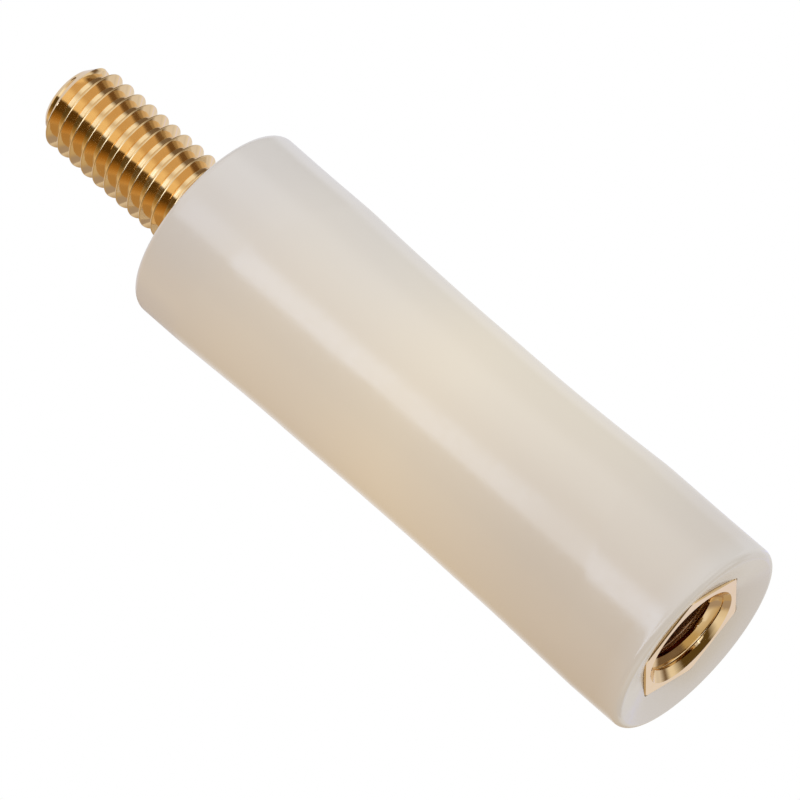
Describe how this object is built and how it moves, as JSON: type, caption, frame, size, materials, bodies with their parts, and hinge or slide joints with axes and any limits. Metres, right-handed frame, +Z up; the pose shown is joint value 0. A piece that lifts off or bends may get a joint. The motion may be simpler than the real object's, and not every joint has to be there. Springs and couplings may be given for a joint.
{
  "type": "round standoff",
  "caption": "Round nylon standoff, slightly waisted, with a tapped brass hexagonal insert in one end and a threaded brass stud out of the other, for holding boards apart and insulated.",
  "frame": {"origin": "centre of the rim at the tapped end, which the part stands on", "axes": "+Z up along the part's axis towards the stud's tip, +X through a corner of the brass hexagon"},
  "size_m": [0.0066, 0.0066, 0.0261],
  "materials": {
    "nylon": "satin natural nylon, slightly translucent",
    "brass": "bright turned brass"
  },
  "bodies": {
    "root": {"nylon_body": "nylon", "threaded_insert": "brass", "threaded_stud": "brass"}
  },
  "joints": []
}
